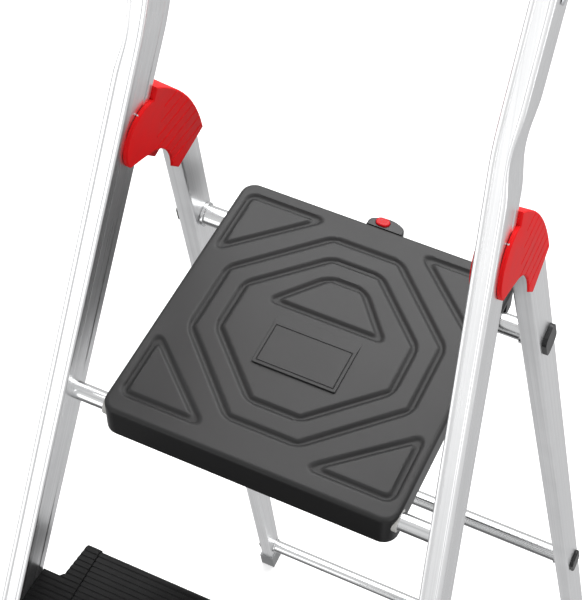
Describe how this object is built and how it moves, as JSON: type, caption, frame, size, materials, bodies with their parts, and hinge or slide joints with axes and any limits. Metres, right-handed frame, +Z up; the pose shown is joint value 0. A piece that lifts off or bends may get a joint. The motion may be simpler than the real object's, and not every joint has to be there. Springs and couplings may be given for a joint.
{
  "type": "step stool",
  "caption": "Folding aluminium household steps with black ribbed treads, a moulded platform, red joint covers, a rear frame that folds in and a safety bow.",
  "frame": {"origin": "floor level, centre of the bounding box's footprint", "axes": "+X the climber's right, +Y towards the rear frame, +Z up"},
  "size_m": [0.6434, 1.2406, 2.0097],
  "materials": {
    "rail_aluminium": "bright anodised extrusion, fine lengthwise lines",
    "bow_aluminium": "bright anodised tube",
    "tube_aluminium": "drawn tube",
    "leg_aluminium": "bright anodised extrusion",
    "head_plastic": "glass-filled nylon",
    "zinc_steel": "zinc plated",
    "deck_plastic": "fine moulded texture with a slight sheen",
    "bush_plastic": "acetal",
    "latch_plastic": "moulded",
    "button_plastic": "polished",
    "spring_steel": "bare spring steel",
    "cover_plastic": "satin moulded",
    "tread_black": "ribbed black",
    "tread_cap_plastic": "moulded",
    "cap_plastic": "moulded",
    "foot_rubber": "matt",
    "rear_foot_plastic": "moulded"
  },
  "bodies": {
    "front_frame": {"rail_left": "rail_aluminium", "rail_right": "rail_aluminium", "safety_bow": "bow_aluminium", "bow_rivets": "zinc_steel", "front_tube": "tube_aluminium", "joint_cover_left": "cover_plastic", "joint_cover_right": "cover_plastic", "hinge_plate_left_inner": "zinc_steel", "hinge_plate_left_outer": "zinc_steel", "hinge_plate_right_inner": "zinc_steel", "hinge_plate_right_outer": "zinc_steel", "plate_rivets": "zinc_steel", "pivot_pin_left": "zinc_steel", "pivot_pin_right": "zinc_steel", "tread_1": "tread_black", "tread_2": "tread_black", "tread_3": "tread_black", "tread_4": "tread_black", "tread_5": "tread_black", "tread_1_cap_left": "tread_cap_plastic", "tread_1_cap_right": "tread_cap_plastic", "tread_2_cap_left": "tread_cap_plastic", "tread_2_cap_right": "tread_cap_plastic", "tread_3_cap_left": "tread_cap_plastic", "tread_3_cap_right": "tread_cap_plastic", "tread_4_cap_left": "tread_cap_plastic", "tread_4_cap_right": "tread_cap_plastic", "tread_5_cap_left": "tread_cap_plastic", "tread_5_cap_right": "tread_cap_plastic", "tread_rivets": "zinc_steel", "front_foot_left": "foot_rubber", "front_foot_right": "foot_rubber"},
    "rear_frame": {"leg_left": "leg_aluminium", "leg_right": "leg_aluminium", "leg_head_left": "head_plastic", "leg_head_right": "head_plastic", "upper_crossbar": "tube_aluminium", "middle_crossbar": "tube_aluminium", "lower_crossbar": "tube_aluminium", "upper_cap_left": "cap_plastic", "upper_cap_right": "cap_plastic", "middle_cap_left": "cap_plastic", "middle_cap_right": "cap_plastic", "lower_cap_left": "cap_plastic", "lower_cap_right": "cap_plastic", "rear_foot_left": "rear_foot_plastic", "rear_foot_right": "rear_foot_plastic"},
    "platform": {"deck_shell": "deck_plastic", "deck_bush_left": "bush_plastic", "deck_bush_right": "bush_plastic", "latch_housing": "latch_plastic", "latch_spring": "spring_steel"},
    "latch": {"latch_button": "button_plastic", "latch_catch": "spring_steel"}
  },
  "joints": [
    {"name": "rear_fold", "type": "hinge", "parent": "front_frame", "child": "rear_frame", "pos_m": [0, 0.15412, 1.5586], "axis": [-1, 0, 0], "range_deg": [0, 38]},
    {"name": "platform_fold", "type": "hinge", "parent": "front_frame", "child": "platform", "pos_m": [0, -0.02841, 1.3955], "axis": [1, 0, 0], "range_deg": [0, 68]},
    {"name": "latch_press", "type": "slide", "parent": "platform", "child": "latch", "axis": [0, 0, -1], "range_m": [0, 0.003], "stiffness_N_per_m": 600, "springref_m": -0.002, "deforming": ["latch_spring"]}
  ],
  "couplings": [
    {"joint": "platform_fold", "follows": "rear_fold", "ratio": 1.785}
  ]
}
